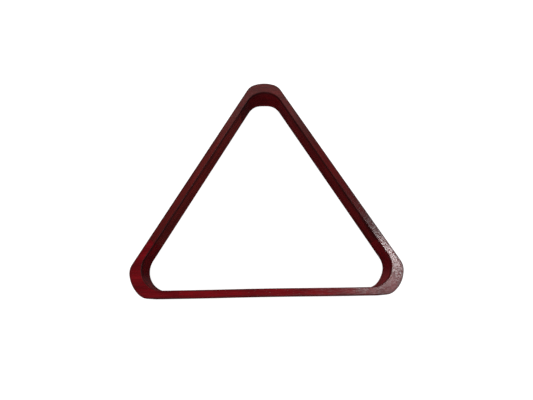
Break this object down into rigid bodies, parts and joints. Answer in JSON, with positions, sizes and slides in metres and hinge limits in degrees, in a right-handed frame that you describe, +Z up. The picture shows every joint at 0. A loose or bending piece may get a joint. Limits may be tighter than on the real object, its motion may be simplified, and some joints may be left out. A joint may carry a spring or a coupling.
{
  "type": "triangle rack",
  "caption": "Wooden triangle frame with straight rails and rounded, cut-off corners, laid flat round billiard balls to gather them into a tight pack.",
  "frame": {"origin": "on the table surface, below the middle of the frame's box, halfway between the base rail's outer face and the apex", "axes": "+X along the base rail to the right, +Y from the base rail to the apex, +Z up from the table"},
  "size_m": [0.3216, 0.284, 0.033],
  "materials": {
    "stained_wood": "red mahogany stain under semi-gloss lacquer, open grain",
    "dowel_wood": "bare, fluted, glued"
  },
  "bodies": {
    "root": {"base_rail": "stained_wood", "left_rail": "stained_wood", "right_rail": "stained_wood", "apex_corner": "stained_wood", "left_corner": "stained_wood", "right_corner": "stained_wood", "dowel_base_left_upper": "dowel_wood", "dowel_base_left_lower": "dowel_wood", "dowel_base_right_upper": "dowel_wood", "dowel_base_right_lower": "dowel_wood", "dowel_left_foot_upper": "dowel_wood", "dowel_left_foot_lower": "dowel_wood", "dowel_left_apex_upper": "dowel_wood", "dowel_left_apex_lower": "dowel_wood", "dowel_right_foot_upper": "dowel_wood", "dowel_right_foot_lower": "dowel_wood", "dowel_right_apex_upper": "dowel_wood", "dowel_right_apex_lower": "dowel_wood"}
  },
  "joints": []
}
